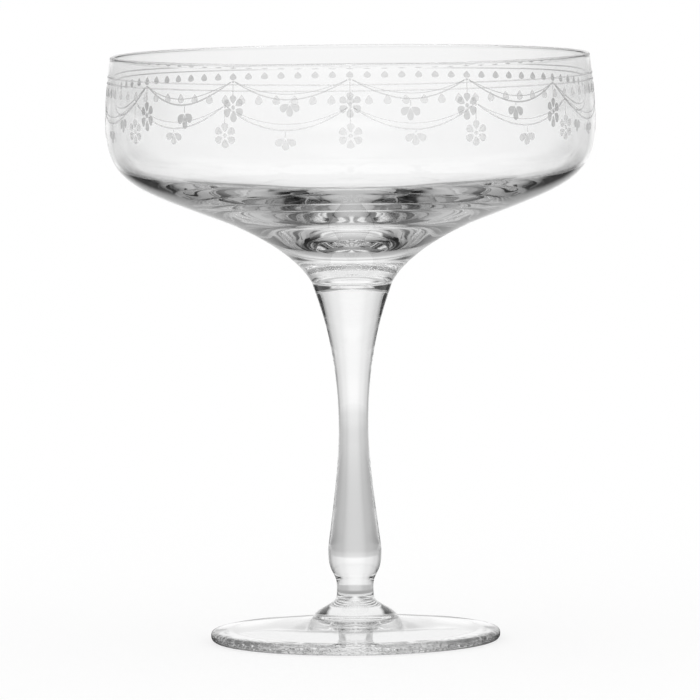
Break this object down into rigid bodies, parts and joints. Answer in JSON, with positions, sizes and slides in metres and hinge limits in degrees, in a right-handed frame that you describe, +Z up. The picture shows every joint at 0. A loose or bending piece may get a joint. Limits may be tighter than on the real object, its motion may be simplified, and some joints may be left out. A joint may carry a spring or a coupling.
{
  "type": "champagne coupe",
  "caption": "Clear glass champagne coupe: a wide shallow bowl with an engraved band below its rim, on a solid baluster stem with a low bulb and a round disc foot.",
  "frame": {"origin": "where the axis of the glass meets the surface that it stands on", "axes": "+Z up along the stem to the rim; the glass is round about Z, with +X and +Y level"},
  "size_m": [0.115, 0.115, 0.1382],
  "materials": {
    "clear_glass": "clear, fire polished",
    "engraved_frost": "matt engraved frost in the bowl's outer surface"
  },
  "bodies": {
    "root": {"bowl": "clear_glass", "stem": "clear_glass", "foot": "clear_glass"}
  },
  "joints": []
}
